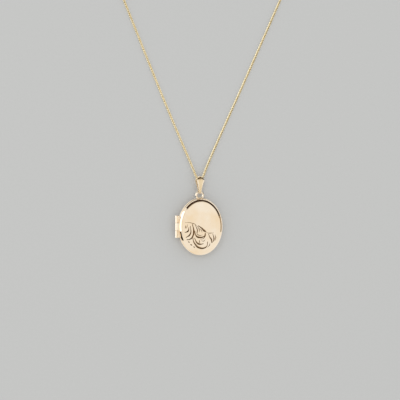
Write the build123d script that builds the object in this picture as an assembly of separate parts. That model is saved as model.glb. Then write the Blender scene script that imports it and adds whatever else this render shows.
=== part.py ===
from build123d import *

import math
import os

# An oval photo locket, lying on its back with its necklace chain drawn out straight in a V.
# Millimetres. Origin: centre of the locket's flat back. +Z out of the front face,
# +Y towards the bail, the hinge on the -X side.

# ------------------------------------------------------------------ driving sizes
CASE_WIDTH = 17.8
CASE_HEIGHT = 22.0
CASE_THICKNESS = 4.6
PARTING_Z = 2.3
PARTING_GAP = 0.02
WALL = 0.35
SHOULDER_RADIUS = 1.5
FACE_CROWN_RADIUS = 135.0
FLANGE_OUT = 0.25
FLANGE_THICKNESS = 0.3

LIP_THICKNESS = 0.3
FRONT_RIM_HEIGHT = 0.45
LIP_ABOVE_PARTING = 0.45
LIP_CLEARANCE = 0.08
FRONT_RIM_STEP = 0.18
BEAD_RADIUS = 0.2
BEAD_LENGTH = 1.6
BEAD_PROUD = 0.05
FRAME_GAP = 0.05
FRAME_WIDTH = 1.1
FRAME_HEIGHT = 0.7
FRAME_EDGE_ROUND = 0.25
WINDOW_THICKNESS = 0.25
CARD_THICKNESS = 0.2
CARD_MARGIN = 0.2

HINGE_OUT = 0.55
HINGE_LENGTH = 8.6
KNUCKLE_RADIUS = 0.45
KNUCKLE_GAP = 0.06
PIN_RADIUS = 0.2
PIN_CLEARANCE = 0.03
LEAF_NEAR = 0.1
LEAF_FAR = 0.55

RING_WIRE_RADIUS = 0.36
RING_RADIUS = 1.34
RING_CENTRE_Y = 12.2
RING_Z = 1.58

BAIL_WALL = 0.25
BAIL_TOP_Y = 19.45
BAIL_LOOP_RADIUS = 1.45
BAIL_EYE_RADIUS = 0.8
BAIL_EYE_DROP = 0.05
BAIL_WIDEST_Y = 18.0
BAIL_WIDEST_HALF = 1.52
BAIL_FOLD_HALF = 0.66
BAIL_EYE_HALF = 0.45

CHAIN_DIAMETER = 0.9
NECKLACE_LENGTH = 457.0
COIL_CENTRE = (0.0, 105.0)
COIL_INNER_RADIUS = 4.9
COIL_STRAND_SPACING = 1.0

CLASP_RING_RADIUS = 2.1
CLASP_TUBE_RADIUS = 0.55
CLASP_BORE_RADIUS = 0.4
CLASP_BOLT_RADIUS = 0.34
CLASP_MOUTH_HALF = 17.0
CLASP_SOCKET_DEPTH = 8.0
CLASP_BOLT_ARC = 82.0
CLASP_TRAVEL = 42.0
CLASP_KNOB_ANGLE = 42.0
CLASP_BORE_END = 168.0
CLASP_X = 0.87
CLASP_Z = 0.9
CLASP_EYE_RADIUS = 0.55
JUMP_RING_RADIUS = 1.0
JUMP_RING_LEAN = 17.0
JUMP_RING_DROP = 0.36
END_RING_RADIUS = 0.95
END_RING_LEAN = 70.0
END_WIRE_RADIUS = 0.2

OVERSHOOT = 1.0

# ------------------------------------------------------------------ worked-out sizes
INNER_INSET = FLANGE_OUT + WALL
LIP_INSET = INNER_INSET + LIP_THICKNESS
FRONT_RIM_INSET = INNER_INSET + FRONT_RIM_STEP
FRONT_SEAT_INSET = FRONT_RIM_INSET + LIP_THICKNESS
HINGE_X = -CASE_WIDTH / 2 - HINGE_OUT
HINGE_Z = PARTING_Z + PARTING_GAP / 2
KNUCKLE_PITCH = HINGE_LENGTH / 3
RING_TOP_Y = RING_CENTRE_Y + RING_RADIUS
EYE_Y = RING_TOP_Y - BAIL_EYE_DROP
LOOP_Y = BAIL_TOP_Y - BAIL_LOOP_RADIUS
CHAIN_RADIUS = CHAIN_DIAMETER / 2
CLASP_EYE_X = -CLASP_RING_RADIUS - CLASP_TUBE_RADIUS - 0.35

# The chain's route: out of the coil at its foot, down the left of the V, through the
# bail, up the right and into the coil at its head. The V is straight because the chain
# is drawn tight; it lies on the surface except where it rises through the bail's loop.
CHAIN_IN_BAIL_Z = 1.56
CHAIN_BESIDE_BAIL_Z = 0.8
COIL_FOOT_Y = 95.7
COIL_HEAD_Y = 114.3
CHAIN_ROUTE = [
    (0.6, COIL_FOOT_Y, CHAIN_RADIUS),
    (-7.5, COIL_FOOT_Y - 0.1, CHAIN_RADIUS),
    (-16.0, 104.5, CHAIN_RADIUS),
    (-28.0, 104.2, CHAIN_RADIUS),
    (-33.6, 95.9, CHAIN_RADIUS),
    (-16.0, 53.5, CHAIN_RADIUS),
    (-7.85, 34.3, CHAIN_RADIUS),
    (-3.3, 23.6, CHAIN_BESIDE_BAIL_Z),
    (-0.78, 18.1, CHAIN_IN_BAIL_Z),
    (0.78, 18.1, CHAIN_IN_BAIL_Z),
    (3.3, 23.6, CHAIN_BESIDE_BAIL_Z),
    (8.2, 34.3, CHAIN_RADIUS),
    (17.2, 53.5, CHAIN_RADIUS),
    (36.6, 96.0, CHAIN_RADIUS),
    (37.5, 107.0, CHAIN_RADIUS),
    (29.0, 114.6, CHAIN_RADIUS),
    (15.0, COIL_HEAD_Y + 1.3, CHAIN_RADIUS),
    (6.0, COIL_HEAD_Y + 0.1, CHAIN_RADIUS),
    (-0.6, COIL_HEAD_Y, CHAIN_RADIUS),
]
ARC_SHARE = 0.45


# ------------------------------------------------------------------ shared shapes
def oval_prism(inset, low, high):
    """The case's oval, smaller by inset all round, as a prism from low to high."""
    oval = Ellipse(CASE_WIDTH / 2 - inset, CASE_HEIGHT / 2 - inset)
    return Pos(0, 0, low) * extrude(oval, high - low)


def oval_band(outer_inset, inner_inset, low, high):
    """A band between two ovals, from low to high."""
    hole = oval_prism(inner_inset, low - OVERSHOOT, high + OVERSHOOT)
    return oval_prism(outer_inset, low, high) - hole


def back_blank(inset, low, radius):
    """The back half's form as a full solid: a prism whose lower edge is rounded."""
    form = oval_prism(inset, low, PARTING_Z)
    return fillet(form.faces().sort_by(Axis.Z)[0].edges(), radius)


def front_blank(inset, drop, radius):
    """The front half's form as a full solid: a crowned face with a rounded edge."""
    top = CASE_THICKNESS - drop
    centre_z = CASE_THICKNESS - FACE_CROWN_RADIUS
    form = oval_prism(inset, PARTING_Z + PARTING_GAP, top + OVERSHOOT)
    form = form & Pos(0, 0, centre_z) * Sphere(FACE_CROWN_RADIUS - drop)
    return fillet(form.faces().sort_by(Axis.Z)[-1].edges(), radius)


def photo_frame(outer, low, rounded_up):
    """An oval ring that presses into a rim, its showing edge rounded."""
    ring = oval_band(outer, outer + FRAME_WIDTH, low, low + FRAME_HEIGHT)
    showing = ring.faces().sort_by(Axis.Z)[-1 if rounded_up else 0]
    return fillet(showing.edges(), FRAME_EDGE_ROUND)


def knuckle(number, bore_radius, on_back):
    """One hinge barrel with the leaf that is soldered to its half of the case."""
    low = -HINGE_LENGTH / 2 + number * KNUCKLE_PITCH + KNUCKLE_GAP / 2
    length = KNUCKLE_PITCH - KNUCKLE_GAP
    along_y = Pos(HINGE_X, low + length / 2, HINGE_Z) * Rot(90, 0, 0)
    side = -1 if on_back else 1
    leaf_height = LEAF_FAR - LEAF_NEAR
    leaf_z = HINGE_Z + side * (LEAF_NEAR + LEAF_FAR) / 2
    reach = -HINGE_X - CASE_WIDTH / 2 + 2 * OVERSHOOT
    leaf = Pos(HINGE_X + reach / 2, low + length / 2, leaf_z) * Box(reach, length, leaf_height)
    barrel = along_y * Cylinder(KNUCKLE_RADIUS, length)
    body = barrel + leaf
    body -= along_y * Cylinder(bore_radius, length + OVERSHOOT)
    return body - (back_solid() if on_back else front_solid())


def back_solid():
    """The back half filled in, flange included."""
    flange = oval_prism(0, PARTING_Z - FLANGE_THICKNESS, PARTING_Z)
    return back_blank(FLANGE_OUT, 0, SHOULDER_RADIUS) + flange


def front_solid():
    """The front half filled in, flange included."""
    low = PARTING_Z + PARTING_GAP
    flange = oval_prism(0, low, low + FLANGE_THICKNESS)
    return front_blank(FLANGE_OUT, 0, SHOULDER_RADIUS) + flange


def back_hollow():
    return back_blank(INNER_INSET, WALL, SHOULDER_RADIUS - WALL)


def front_hollow():
    return front_blank(INNER_INSET, WALL, SHOULDER_RADIUS - WALL)


# ------------------------------------------------------------------ back half
def back_shell():
    return back_solid() - back_hollow()


def back_rim():
    """The band soldered inside the back half; the cover closes over its upper edge.

    A short raised bead on it, opposite the hinge, holds the cover shut.
    """
    top = PARTING_Z + LIP_ABOVE_PARTING
    x = CASE_WIDTH / 2 - INNER_INSET + BEAD_PROUD - BEAD_RADIUS
    z = (PARTING_Z + PARTING_GAP + top) / 2
    bead = Pos(x, 0, z) * Rot(90, 0, 0) * Cylinder(BEAD_RADIUS, BEAD_LENGTH)
    bead -= oval_prism(LIP_INSET - BEAD_PROUD, 0, CASE_THICKNESS)
    return oval_band(INNER_INSET, LIP_INSET, SHOULDER_RADIUS, top) + bead


# ------------------------------------------------------------------ front half
def front_shell():
    relief_top = PARTING_Z + LIP_ABOVE_PARTING + LIP_CLEARANCE
    relief = oval_prism(INNER_INSET - LIP_CLEARANCE, PARTING_Z, relief_top)
    return front_solid() - front_hollow() - relief


def front_rim():
    """The band soldered inside the cover, above the back's rim, that holds the frame."""
    low = PARTING_Z + LIP_ABOVE_PARTING + LIP_CLEARANCE
    return oval_band(FRONT_RIM_INSET, FRONT_SEAT_INSET, low, low + FRONT_RIM_HEIGHT)


# ------------------------------------------------------------------ bail and ring
def top_ring():
    """The soldered ring on the case's top edge, cut where it meets the case."""
    wall = oval_prism(FLANGE_OUT, 0, PARTING_Z)
    section = Plane.XZ * Pos(RING_RADIUS, 0) * Circle(RING_WIRE_RADIUS)
    half = revolve(section, Axis.Z, 180)
    place = Pos(0, RING_CENTRE_Y, RING_Z)
    return (place * Rot(0, 0, -90) * half - wall) + (place * Rot(0, 0, 90) * half - wall)


def bail_side(shrink):
    """The bail from the side: a teardrop round the chain above and the ring below."""
    loop = Pos(LOOP_Y, RING_Z) * Circle(BAIL_LOOP_RADIUS - shrink)
    eye = Pos(EYE_Y, RING_Z) * Circle(BAIL_EYE_RADIUS - shrink)
    return make_hull((loop + eye).edges())


def bail():
    side = Plane.YZ * (bail_side(0) - bail_side(BAIL_WALL))
    strip = extrude(side, BAIL_WIDEST_HALF + OVERSHOOT, both=True)
    eye_low = (BAIL_EYE_HALF, EYE_Y - BAIL_EYE_RADIUS - OVERSHOOT)
    eye_high = (BAIL_EYE_HALF, EYE_Y - 0.2)
    waist = (0.8, 15.3)
    widest = (BAIL_WIDEST_HALF, BAIL_WIDEST_Y)
    fold = (BAIL_FOLD_HALF, BAIL_TOP_Y - 0.1)
    above = (BAIL_FOLD_HALF - 0.1, BAIL_TOP_Y + OVERSHOOT)
    right = Line(eye_low, eye_high)
    right += ThreePointArc(eye_high, waist, widest)
    right += Line(widest, fold)
    right += Line(fold, above)
    ends = Line((-eye_low[0], eye_low[1]), eye_low)
    ends += Line((-above[0], above[1]), above)
    outline = make_face((right + mirror(right, Plane.YZ) + ends).edges())
    leaf = Pos(0, 0, RING_Z) * extrude(outline, 2 * BAIL_LOOP_RADIUS, both=True)
    return strip & leaf


# ------------------------------------------------------------------ chain
def corner_radii(route):
    """One radius for each corner: 0.45 of the shorter run over the half turn's tangent."""
    points = [Vector(*point) for point in route]
    radii = []
    for before, here, after in zip(points, points[1:], points[2:]):
        first = here - before
        second = after - here
        half_turn = math.radians(first.get_angle(second)) / 2
        shorter = min(first.length, second.length)
        radii.append(ARC_SHARE * shorter / math.tan(half_turn))
    return radii


def chain_path():
    return FilletPolyline(*CHAIN_ROUTE, radius=corner_radii(CHAIN_ROUTE))


def chain_run(path):
    section = Plane(origin=path @ 0, z_dir=path % 0) * Circle(CHAIN_RADIUS)
    return sweep(section, path=path)


def coil_outer_radius(length):
    """The two strands wind side by side, so the coil's area is its length x spacing."""
    area = length * COIL_STRAND_SPACING
    return math.sqrt(COIL_INNER_RADIUS**2 + area / math.pi)


def chain_coil(outer_radius):
    x, y = COIL_CENTRE
    disc = Cylinder(outer_radius + CHAIN_RADIUS, CHAIN_DIAMETER)
    hole = Cylinder(COIL_INNER_RADIUS - CHAIN_RADIUS, CHAIN_DIAMETER + OVERSHOOT)
    return Pos(x, y, CHAIN_RADIUS) * (disc - hole)


# ------------------------------------------------------------------ clasp
def clasp_arc(start, sweep_angle, radius):
    """A bar of the clasp ring's curve, from start, through sweep_angle degrees."""
    section = Plane.XZ * Pos(CLASP_RING_RADIUS, 0) * Circle(radius)
    bar = revolve(section, Axis.Z, sweep_angle)
    return clasp_place() * Rot(0, 0, start) * bar


def clasp_place():
    x, y = COIL_CENTRE
    return Pos(x + CLASP_X, y, CLASP_Z)


def clasp_ring():
    """The hollow ring with its mouth and a slot for the trigger."""
    tube = clasp_arc(CLASP_MOUTH_HALF, 360 - 2 * CLASP_MOUTH_HALF, CLASP_TUBE_RADIUS)
    bore_start = -CLASP_MOUTH_HALF - CLASP_SOCKET_DEPTH - 1
    bore_sweep = CLASP_BORE_END - bore_start
    bore = clasp_arc(bore_start, bore_sweep, CLASP_BORE_RADIUS)
    slot_half = 7.0
    slot_start = CLASP_KNOB_ANGLE - slot_half
    slot = clasp_slot(slot_start, CLASP_TRAVEL + 2 * slot_half)
    return tube - bore - slot


def clasp_eye():
    """The small ring soldered upright to the clasp's back."""
    eye = clasp_place() * Pos(CLASP_EYE_X, 0, 0) * Rot(90, 0, 0)
    eye *= Torus(CLASP_EYE_RADIUS, END_WIRE_RADIUS)
    return eye - clasp_arc(90, 180, CLASP_TUBE_RADIUS)


def clasp_slot(start, sweep_angle):
    """The slot's cutter: a flat sector through the ring's outer wall."""
    inner = CLASP_RING_RADIUS + CLASP_BORE_RADIUS / 2
    width = OVERSHOOT
    section = Plane.XZ * Pos(inner + width / 2, 0) * Rectangle(width, 0.5)
    return clasp_place() * Rot(0, 0, start) * revolve(section, Axis.Z, sweep_angle)


def clasp_bolt():
    """The sliding bolt that shuts the mouth, with the trigger's knob on it."""
    start = -CLASP_MOUTH_HALF - CLASP_SOCKET_DEPTH
    bar = clasp_arc(start, CLASP_BOLT_ARC, CLASP_BOLT_RADIUS)
    stem_radius = 0.2
    knob_radius = 0.34
    stem_length = 0.75
    stem_middle = CLASP_RING_RADIUS + CLASP_BOLT_RADIUS / 2 + stem_length / 2
    knob_at = CLASP_RING_RADIUS + CLASP_TUBE_RADIUS + 0.4
    turned = clasp_place() * Rot(0, 0, CLASP_KNOB_ANGLE)
    stem = turned * Pos(stem_middle, 0, 0) * Rot(0, 90, 0) * Cylinder(stem_radius, stem_length)
    knob = turned * Pos(knob_at, 0, 0) * Sphere(knob_radius)
    return bar + stem + knob


def clasp_spring():
    """The spring behind the bolt, as the sleeve that its turns fill."""
    gap_angle = 2.0
    start = CLASP_BOLT_ARC - CLASP_MOUTH_HALF - CLASP_SOCKET_DEPTH + gap_angle
    length = CLASP_BORE_END - gap_angle - start
    outer = clasp_arc(start, length, CLASP_BOLT_RADIUS)
    return outer - clasp_arc(start, length, CLASP_BOLT_RADIUS / 2)


def clasp_jump_ring():
    """The ring that joins the chain's end to the clasp's fixed eye, leaning on the surface."""
    x = CLASP_EYE_X - JUMP_RING_RADIUS * math.cos(math.radians(JUMP_RING_LEAN))
    place = clasp_place() * Pos(x, 0, -JUMP_RING_DROP) * Rot(0, -JUMP_RING_LEAN, 0)
    return place * Torus(JUMP_RING_RADIUS, END_WIRE_RADIUS)


def chain_end_ring():
    """The ring on the chain's other end, caught by the clasp's bolt."""
    x, y = COIL_CENTRE
    out = CLASP_X + CLASP_RING_RADIUS + 0.25
    up = END_WIRE_RADIUS + END_RING_RADIUS * math.sin(math.radians(END_RING_LEAN))
    place = Pos(x + out, y, up) * Rot(END_RING_LEAN, 0, 0)
    return place * Torus(END_RING_RADIUS, END_WIRE_RADIUS)


# ------------------------------------------------------------------ assembly
BACK_CARD_LOW = 0.72
BACK_WINDOW_LOW = BACK_CARD_LOW + CARD_THICKNESS
BACK_FRAME_LOW = BACK_WINDOW_LOW + WINDOW_THICKNESS
FRONT_FRAME_LOW = 2.5
FRONT_WINDOW_LOW = FRONT_FRAME_LOW + FRAME_HEIGHT
FRONT_CARD_LOW = FRONT_WINDOW_LOW + WINDOW_THICKNESS
BACK_LEAF_INSET = LIP_INSET + FRAME_GAP
FRONT_LEAF_INSET = FRONT_SEAT_INSET + FRAME_GAP

route_path = chain_path()
coiled_length = NECKLACE_LENGTH - route_path.length
outer_turn = coil_outer_radius(coiled_length)

nodes = {
    "back_shell": back_shell(),
    "back_rim": back_rim(),
    "back_photo_card": oval_prism(BACK_LEAF_INSET + CARD_MARGIN, BACK_CARD_LOW, BACK_WINDOW_LOW),
    "back_window": oval_prism(BACK_LEAF_INSET, BACK_WINDOW_LOW, BACK_FRAME_LOW),
    "back_photo_frame": photo_frame(BACK_LEAF_INSET, BACK_FRAME_LOW, True),
    "front_shell": front_shell(),
    "front_rim": front_rim(),
    "front_photo_card": oval_prism(FRONT_LEAF_INSET, FRONT_CARD_LOW, FRONT_CARD_LOW + CARD_THICKNESS),
    "front_window": oval_prism(FRONT_LEAF_INSET, FRONT_WINDOW_LOW, FRONT_CARD_LOW),
    "front_photo_frame": photo_frame(FRONT_LEAF_INSET, FRONT_FRAME_LOW, False),
    "hinge_knuckle_lower": knuckle(0, PIN_RADIUS, True),
    "hinge_knuckle_middle": knuckle(1, PIN_RADIUS + PIN_CLEARANCE, False),
    "hinge_knuckle_upper": knuckle(2, PIN_RADIUS, True),
    "hinge_pin": Pos(HINGE_X, 0, HINGE_Z) * Rot(90, 0, 0) * Cylinder(PIN_RADIUS, HINGE_LENGTH),
    "top_ring": top_ring(),
    "bail": bail(),
    "chain_run": chain_run(route_path),
    "chain_coil": chain_coil(outer_turn),
    "clasp_ring": clasp_ring(),
    "clasp_eye": clasp_eye(),
    "clasp_bolt": clasp_bolt(),
    "clasp_spring": clasp_spring(),
    "clasp_jump_ring": clasp_jump_ring(),
    "chain_end_ring": chain_end_ring(),
}

os.makedirs("parts", exist_ok=True)
for name, solid in nodes.items():
    export_step(solid, os.path.join("parts", name + ".step"))

tube_volume = math.pi * CHAIN_RADIUS**2 * route_path.length
print("chain radii", [round(radius, 2) for radius in corner_radii(CHAIN_ROUTE)])
print("chain run", round(route_path.length, 1), "coiled", round(coiled_length, 1))
print("coil outer turn", round(outer_turn, 2))
print("tube volume over section x length", round(nodes["chain_run"].volume / tube_volume, 4))
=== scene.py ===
"""An oval photo locket on its necklace chain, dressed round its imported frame.

Everything is in metres. The locket lies on its back: +Z points out of its engraved
face, +Y towards the bail, and the hinge is on the -X side.
"""

import logging
import math
from dataclasses import dataclass
from enum import Enum
from typing import Callable, Iterable, Sequence

import bmesh
import bpy
import numpy as np
from mathutils import Matrix, Vector


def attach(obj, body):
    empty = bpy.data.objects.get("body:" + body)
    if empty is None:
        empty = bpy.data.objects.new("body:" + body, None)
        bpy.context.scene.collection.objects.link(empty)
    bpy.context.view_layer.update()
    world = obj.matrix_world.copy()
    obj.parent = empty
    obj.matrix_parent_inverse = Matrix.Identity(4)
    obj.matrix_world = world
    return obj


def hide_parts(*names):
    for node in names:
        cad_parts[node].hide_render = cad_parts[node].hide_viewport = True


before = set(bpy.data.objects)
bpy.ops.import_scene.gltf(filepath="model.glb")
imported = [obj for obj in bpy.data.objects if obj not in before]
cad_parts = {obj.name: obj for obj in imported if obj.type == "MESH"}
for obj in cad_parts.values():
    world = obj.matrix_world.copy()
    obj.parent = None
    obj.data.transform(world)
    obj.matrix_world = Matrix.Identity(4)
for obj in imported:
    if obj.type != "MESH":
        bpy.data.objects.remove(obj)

LOG = logging.getLogger("locket")
MM = 0.001
FULL_TURN = 2 * math.pi
TINY = 1e-7

Place = Callable[[float], Vector]


class Slot(Enum):
    """The record's material slots."""

    POLISHED = "polished_gold"
    ENGRAVED = "engraved_gold"
    CHAIN = "chain_gold"
    PIN = "hinge_pin_steel"
    SPRING = "spring_steel"
    ACETATE = "clear_acetate"
    CARD = "photo_card"


class Body(Enum):
    """The frame's bodies that pieces made here ride on."""

    CHAIN = "chain"
    BAIL = "bail"
    CASE = "case"
    COVER = "cover"


# ------------------------------------------------------------------ colour and nodes
def linear(hexed: str) -> tuple[float, float, float, float]:
    """Turns an sRGB colour to the linear values that a shader takes.

    Args:
        hexed: the colour as six hexadecimal digits.

    Returns:
        Red, green, blue and a full alpha.
    """
    parts = [int(hexed[i : i + 2], 16) / 255 for i in (0, 2, 4)]
    r, g, b = (p / 12.92 if p <= 0.04045 else ((p + 0.055) / 1.055) ** 2.4 for p in parts)
    return (r, g, b, 1.0)


def add_node(tree: bpy.types.NodeTree, kind: str, settings: dict, inputs: dict) -> bpy.types.Node:
    """Adds one node with its settings, socket values and links.

    Args:
        tree: the node tree that it goes in.
        kind: the node's type.
        settings: properties of the node, by name.
        inputs: values by socket name or number; an output socket is linked instead.

    Returns:
        The new node.
    """
    node = tree.nodes.new(kind)
    for name, value in settings.items():
        setattr(node, name, value)
    for key, value in inputs.items():
        if isinstance(value, bpy.types.NodeSocket):
            tree.links.new(value, node.inputs[key])
        else:
            node.inputs[key].default_value = value
    return node


def blank_material(name: str) -> tuple[bpy.types.Material, bpy.types.NodeTree]:
    """Makes a material with an empty node tree.

    Args:
        name: the material's name.

    Returns:
        The material and its tree.
    """
    material = bpy.data.materials.new(name)
    material.use_nodes = True
    material.node_tree.nodes.clear()
    return material, material.node_tree


def noise(
    tree: bpy.types.NodeTree, cell: tuple[float, float, float], detail: float, turn: float = 0.0
) -> bpy.types.NodeSocket:
    """A noise whose cells have a real size on the object.

    Args:
        tree: the node tree.
        cell: the size of one cell along x, y and z, in millimetres.
        detail: how many finer layers it has.
        turn: a turn of the cells about z, in radians.

    Returns:
        The noise.
    """
    place = add_node(tree, "ShaderNodeTexCoord", {}, {})
    scale = [1 / (side * MM) for side in cell]
    mapping = add_node(
        tree,
        "ShaderNodeMapping",
        {"vector_type": "POINT"},
        {"Vector": place.outputs["Object"], "Rotation": (0.0, 0.0, turn), "Scale": scale},
    )
    inputs = {"Vector": mapping.outputs["Vector"], "Scale": 1.0, "Detail": detail}
    return add_node(tree, "ShaderNodeTexNoise", {}, inputs).outputs["Fac"]


def spread_of(
    tree: bpy.types.NodeTree, value: bpy.types.NodeSocket, low: float, high: float
) -> bpy.types.NodeSocket:
    """Maps a noise's middle range to the range of a property, from low to high."""
    inputs = {"Value": value, "From Min": 0.3, "From Max": 0.7, "To Min": low, "To Max": high}
    return add_node(tree, "ShaderNodeMapRange", {}, inputs).outputs["Result"]


def blend(
    tree: bpy.types.NodeTree, share: bpy.types.NodeSocket, first: object, second: object
) -> bpy.types.NodeSocket:
    """Mixes two colours, each a value or a socket, by a share of the second."""
    inputs = {"Factor": share, 6: first, 7: second}
    return add_node(tree, "ShaderNodeMix", {"data_type": "RGBA"}, inputs).outputs[2]


def relief(
    tree: bpy.types.NodeTree, height: bpy.types.NodeSocket, deep_mm: float, strength: float
) -> bpy.types.NodeSocket:
    """Turns a height into a surface's normal; deep_mm is the full height, in millimetres."""
    inputs = {"Height": height, "Distance": deep_mm * MM, "Strength": strength}
    return add_node(tree, "ShaderNodeBump", {}, inputs).outputs["Normal"]


def surfaced(name: str, kind: str, inputs: Callable[[bpy.types.NodeTree], dict]) -> bpy.types.Material:
    """Makes a material of one shader.

    Args:
        name: the material's name.
        kind: the shader's type.
        inputs: gives the shader's inputs, after it has added the nodes that they need.

    Returns:
        The material.
    """
    material, tree = blank_material(name)
    shader = add_node(tree, kind, {}, inputs(tree))
    add_node(tree, "ShaderNodeOutputMaterial", {}, {"Surface": shader.outputs[0]})
    return material


# ------------------------------------------------------------------ finishes
CUT_ATTRIBUTE = "cut_depth"


@dataclass(frozen=True)
class GoldFinish:
    """Nine carat yellow gold, cast or rolled, then lapped and buffed.

    It mirrors its surroundings. Buffing leaves soft clouds a few millimetres across in
    the gloss, which the eye reads as hand work. Wear leaves hairlines, drawn here some
    five times coarser than real ones so that they still break the highlights when the
    whole locket is in view.
    """

    name: str
    colour: str
    pale: str
    gloss: tuple[float, float]
    cloud_mm: float = 2.6
    hairline_mm: float = 0.07
    hairline_long_mm: float = 1.8
    hairline_turn: float = 0.5
    hairline_height_mm: float = 0.0007
    patina: str = ""
    patina_rough: float = 0.12

    def inputs(self, tree: bpy.types.NodeTree) -> dict:
        """The shader's inputs."""
        cloud = noise(tree, (self.cloud_mm,) * 3, 3.0)
        cell = (self.hairline_mm, self.hairline_long_mm, self.hairline_long_mm)
        hairline = noise(tree, cell, 2.0, self.hairline_turn)
        colour = blend(tree, spread_of(tree, cloud, 0.0, 1.0), linear(self.colour), linear(self.pale))
        roughness = spread_of(tree, cloud, *self.gloss)
        if self.patina:
            # The cut's floor keeps a little polishing compound and dulls.
            named = {"attribute_name": CUT_ATTRIBUTE}
            depth = add_node(tree, "ShaderNodeAttribute", named, {}).outputs["Fac"]
            colour = blend(tree, depth, colour, linear(self.patina))
            added = {0: depth, 1: self.patina_rough, 2: roughness}
            adding = {"operation": "MULTIPLY_ADD"}
            roughness = add_node(tree, "ShaderNodeMath", adding, added).outputs["Value"]
        normal = relief(tree, hairline, self.hairline_height_mm, 1.0)
        return {"Base Color": colour, "Metallic": 1.0, "Roughness": roughness, "Normal": normal}

    def material(self) -> bpy.types.Material:
        """Builds the gold."""
        return surfaced(self.name, "ShaderNodeBsdfPrincipled", self.inputs)


@dataclass(frozen=True)
class WireSteelFinish:
    """Hard drawn steel wire: grey and glossy, with draw lines that tell it from the gold."""

    name: str
    colour: str
    gloss: tuple[float, float]
    cell_mm: tuple[float, float, float]
    line_deep_mm: float = 0.004

    def inputs(self, tree: bpy.types.NodeTree) -> dict:
        """The shader's inputs."""
        lines = noise(tree, self.cell_mm, 3.0)
        return {
            "Base Color": linear(self.colour),
            "Metallic": 1.0,
            "Roughness": spread_of(tree, lines, *self.gloss),
            "Normal": relief(tree, lines, self.line_deep_mm, 0.6),
        }

    def material(self) -> bpy.types.Material:
        """Builds the steel."""
        return surfaced(self.name, "ShaderNodeBsdfPrincipled", self.inputs)


@dataclass(frozen=True)
class AcetateFinish:
    """Clear cellulose acetate sheet, die cut: glossy, faintly warm, lightly rubbed."""

    name: str
    colour: str
    rub_mm: float
    index: float = 1.48
    most_mirrored: float = 0.2

    def inputs(self, tree: bpy.types.NodeTree) -> dict:
        """The shader's inputs: mostly see-through, with a gloss that grows at a slant."""
        rub = noise(tree, (self.rub_mm, 8 * self.rub_mm, self.rub_mm), 4.0, 0.9)
        through = add_node(tree, "ShaderNodeBsdfTransparent", {}, {"Color": linear(self.colour)})
        gloss = add_node(tree, "ShaderNodeBsdfGlossy", {}, {"Roughness": spread_of(tree, rub, 0.03, 0.12)})
        fresnel = add_node(tree, "ShaderNodeFresnel", {}, {"IOR": self.index}).outputs["Fac"]
        # A thin sheet never mirrors fully, from either side.
        capped = {0: fresnel, 1: self.most_mirrored}
        share = add_node(tree, "ShaderNodeMath", {"operation": "MINIMUM"}, capped).outputs["Value"]
        return {"Fac": share, 1: through.outputs["BSDF"], 2: gloss.outputs["BSDF"]}

    def material(self) -> bpy.types.Material:
        """Builds the clear sheet."""
        return surfaced(self.name, "ShaderNodeMixShader", self.inputs)


@dataclass(frozen=True)
class CardFinish:
    """Uncoated cream card: matt, with paper fibres and a faint mottle."""

    name: str
    colour: str
    fibre: str
    fibre_mm: float
    fibre_deep_mm: float = 0.02

    def inputs(self, tree: bpy.types.NodeTree) -> dict:
        """The shader's inputs."""
        fibres = noise(tree, (self.fibre_mm, 5 * self.fibre_mm, self.fibre_mm), 5.0, 0.3)
        colour = blend(tree, spread_of(tree, fibres, 0.0, 1.0), linear(self.colour), linear(self.fibre))
        normal = relief(tree, fibres, self.fibre_deep_mm, 0.7)
        return {"Base Color": colour, "Roughness": 0.85, "Normal": normal}

    def material(self) -> bpy.types.Material:
        """Builds the card."""
        return surfaced(self.name, "ShaderNodeBsdfPrincipled", self.inputs)


FINISHES: dict[Slot, GoldFinish | WireSteelFinish | AcetateFinish | CardFinish] = {
    Slot.POLISHED: GoldFinish("polished_nine_carat_gold", "F5E4CA", "F8EAD6", (0.05, 0.09)),
    Slot.ENGRAVED: GoldFinish(
        "engraved_nine_carat_gold", "F4DEBF", "F8EBD9", (0.05, 0.09), cloud_mm=5.5, patina="7A5C38"
    ),
    Slot.CHAIN: GoldFinish(
        "rolled_gold_wire",
        "F6E6BA",
        "FAEFD0",
        (0.24, 0.34),
        cloud_mm=1.2,
        hairline_mm=0.05,
        hairline_long_mm=0.4,
    ),
    Slot.PIN: WireSteelFinish("drawn_hinge_wire", "C9C3B8", (0.15, 0.3), (0.04, 1.5, 0.04)),
    Slot.SPRING: WireSteelFinish("drawn_spring_wire", "A9A9AB", (0.2, 0.38), (0.06, 0.06, 0.06)),
    Slot.ACETATE: AcetateFinish("clear_acetate_sheet", "FEFEFB", 0.12),
    Slot.CARD: CardFinish("uncoated_cream_card", "EDE5D2", "E2D8C1", 0.06),
}
# Satin gold for the bail's middle panel: its rougher gloss is real, but its deeper, darker gold tone is
# painted shade.
SATIN_WITH_PAINTED_SHADE = GoldFinish("satin_gold_with_painted_shade", "EBD3A9", "F2DFBD", (0.36, 0.44), hairline_height_mm=0.002)
# Filed gold for the bail's inner side: its rough gloss is real, but its paler gold tone is painted light.
FILED_WITH_PAINTED_LIGHT = GoldFinish("filed_gold_with_painted_light", "FAE9CA", "FCF1DE", (0.5, 0.58), hairline_height_mm=0.004)
made_finishes: dict[Slot, bpy.types.Material] = {}


def finish_of(slot: Slot) -> bpy.types.Material:
    """The material of a slot, made once."""
    if slot not in made_finishes:
        made_finishes[slot] = FINISHES[slot].material()
    return made_finishes[slot]


def shown(name: str, data: bpy.types.ID) -> bpy.types.Object:
    """Puts an object that holds the data at the scene's origin."""
    made = bpy.data.objects.new(name, data)
    bpy.context.scene.collection.objects.link(made)
    return made


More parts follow.
